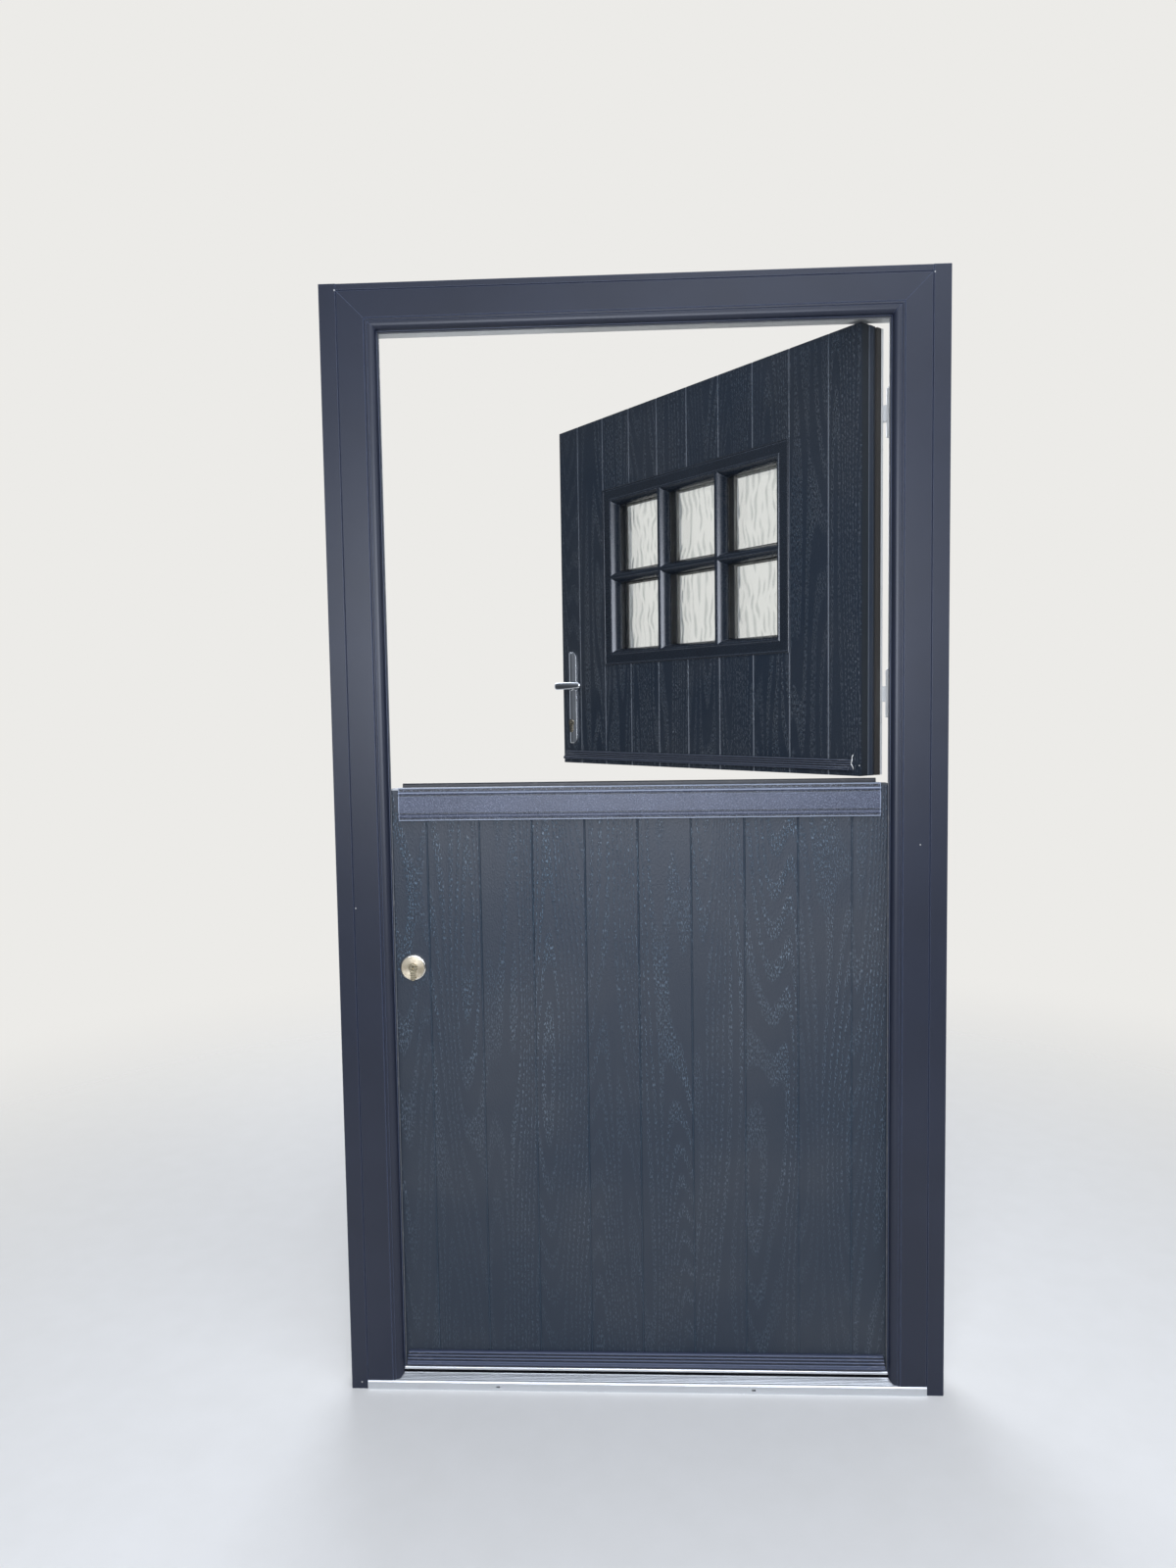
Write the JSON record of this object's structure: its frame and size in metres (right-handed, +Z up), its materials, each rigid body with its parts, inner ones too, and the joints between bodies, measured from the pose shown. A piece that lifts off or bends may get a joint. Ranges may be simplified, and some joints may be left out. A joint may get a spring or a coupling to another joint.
{
  "type": "dutch stable door",
  "caption": "Door in two separately hinged leaves with its frame, threshold, window, locks, levers and rain bars.",
  "frame": {"origin": "on the floor, midway between the jambs, in the outside face of the frame", "axes": "+X to the right seen from outside, +Y into the building, +Z up"},
  "size_m": [1.14, 0.8483, 2.096],
  "materials": {
    "anthracite_profile": "anthracite foil with fine grain",
    "anthracite_slab": "anthracite outside, white inside",
    "white_plastic": "smooth white",
    "light_grey_seal": "soft light grey",
    "black_seal": "soft black",
    "mill_aluminium": "extruded, satin",
    "anthracite_aluminium": "anthracite powder coat",
    "galvanised_steel": "galvanised",
    "hinge_white": "white powder coat",
    "bright_chrome": "polished",
    "satin_steel": "satin",
    "clear_glass": "clear",
    "obscure_glass": "fine vertical streak pattern",
    "black_spacer": "matt black"
  },
  "bodies": {
    "frame": {"frame_head": "anthracite_profile", "frame_jamb_lock": "anthracite_profile", "frame_jamb_hinge": "anthracite_profile", "extender_head": "anthracite_profile", "extender_lock": "anthracite_profile", "extender_hinge": "anthracite_profile", "steel_jamb_lock": "galvanised_steel", "steel_jamb_hinge": "galvanised_steel", "threshold": "mill_aluminium", "seal_head": "light_grey_seal", "seal_jamb_lock": "light_grey_seal", "seal_jamb_hinge": "light_grey_seal", "seal_threshold": "light_grey_seal", "keep_top": "satin_steel", "keep_bottom": "satin_steel", "hinge_pins": "satin_steel", "frame_screws": "galvanised_steel", "hinge_1_frame_flag": "hinge_white", "hinge_2_frame_flag": "hinge_white", "hinge_3_frame_flag": "hinge_white", "hinge_4_frame_flag": "hinge_white"},
    "top_lever": {"top_lever_outer": "bright_chrome", "top_lever_inner": "bright_chrome", "top_spindle": "galvanised_steel", "top_follower": "galvanised_steel"},
    "top_latch": {"top_latch": "satin_steel"},
    "top_deadbolt": {"top_deadbolt": "satin_steel"},
    "top_thumbturn": {"top_cylinder_turn": "satin_steel"},
    "coupling_bolt": {"coupler_bolt": "satin_steel"},
    "bottom_deadbolt": {"bottom_deadbolt": "satin_steel"},
    "bottom_thumbturn": {"bottom_cylinder_turn": "satin_steel"},
    "bottom_leaf": {"bottom_slab": "anthracite_slab", "meeting_rail": "anthracite_profile", "meeting_seal": "black_seal", "bottom_rain_bar": "anthracite_aluminium", "bottom_lock_case": "galvanised_steel", "bottom_faceplate": "satin_steel", "bottom_cylinder": "satin_steel", "bottom_escutcheon_outer": "satin_steel", "bottom_escutcheon_inner": "satin_steel", "hinge_3_leaf_flag": "hinge_white", "hinge_4_leaf_flag": "hinge_white", "bottom_leaf_screws": "galvanised_steel", "coupler_keep": "hinge_white"},
    "top_leaf": {"top_slab": "anthracite_slab", "top_cassette_outer": "anthracite_profile", "top_cassette_inner": "white_plastic", "top_pane_outer": "clear_glass", "top_pane_inner": "obscure_glass", "top_glass_spacer": "black_spacer", "top_rain_bar": "anthracite_aluminium", "top_lock_case": "galvanised_steel", "top_faceplate": "satin_steel", "top_cylinder": "satin_steel", "top_plate_outer": "bright_chrome", "top_plate_inner": "bright_chrome", "hinge_1_leaf_flag": "hinge_white", "hinge_2_leaf_flag": "hinge_white", "top_leaf_screws": "galvanised_steel", "coupler_guides": "hinge_white"}
  },
  "joints": [
    {"name": "top_leaf_hinge", "type": "hinge", "parent": "frame", "child": "top_leaf", "pos_m": [0.4866, 0.099, 1.6], "axis": [0, 0, -1], "range_deg": [-50.3, 39.7]},
    {"name": "bottom_leaf_hinge", "type": "hinge", "parent": "frame", "child": "bottom_leaf", "pos_m": [0.4866, 0.099, 0.6], "axis": [0, 0, -1], "range_deg": [0, 90]},
    {"name": "top_lever_turn", "type": "hinge", "parent": "top_leaf", "child": "top_lever", "pos_m": [-0.13249, 0.77894, 1.377], "axis": [0.7694, 0.6388, 0], "range_deg": [0, 40], "stiffness_Nm_per_rad": 0.6, "springref_deg": -28.65},
    {"name": "top_latch_slide", "type": "slide", "parent": "top_leaf", "child": "top_latch", "axis": [0.6388, -0.7694, 0], "range_m": [0, 0.012]},
    {"name": "top_thumbturn_turn", "type": "hinge", "parent": "top_leaf", "child": "top_thumbturn", "pos_m": [-0.13249, 0.77894, 1.285], "axis": [0.7694, 0.6388, 0], "range_deg": [0, 360]},
    {"name": "top_deadbolt_slide", "type": "slide", "parent": "top_leaf", "child": "top_deadbolt", "axis": [-0.6388, 0.7694, 0], "range_m": [0, 0.02]},
    {"name": "coupling_bolt_slide", "type": "slide", "parent": "top_leaf", "child": "coupling_bolt", "axis": [0, 0, -1], "range_m": [0, 0.04]},
    {"name": "bottom_thumbturn_turn", "type": "hinge", "parent": "bottom_leaf", "child": "bottom_thumbturn", "pos_m": [-0.432, 0.057, 0.828], "axis": [0, 1, 0], "range_deg": [0, 360]},
    {"name": "bottom_deadbolt_slide", "type": "slide", "parent": "bottom_leaf", "child": "bottom_deadbolt", "axis": [-1, 0, 0], "range_m": [0, 0.02]}
  ],
  "couplings": [
    {"joint": "top_latch_slide", "follows": "top_lever_turn", "m_per_rad": 0.017188},
    {"joint": "top_deadbolt_slide", "follows": "top_thumbturn_turn", "m_per_rad": 0.003183},
    {"joint": "bottom_deadbolt_slide", "follows": "bottom_thumbturn_turn", "m_per_rad": 0.003183}
  ]
}
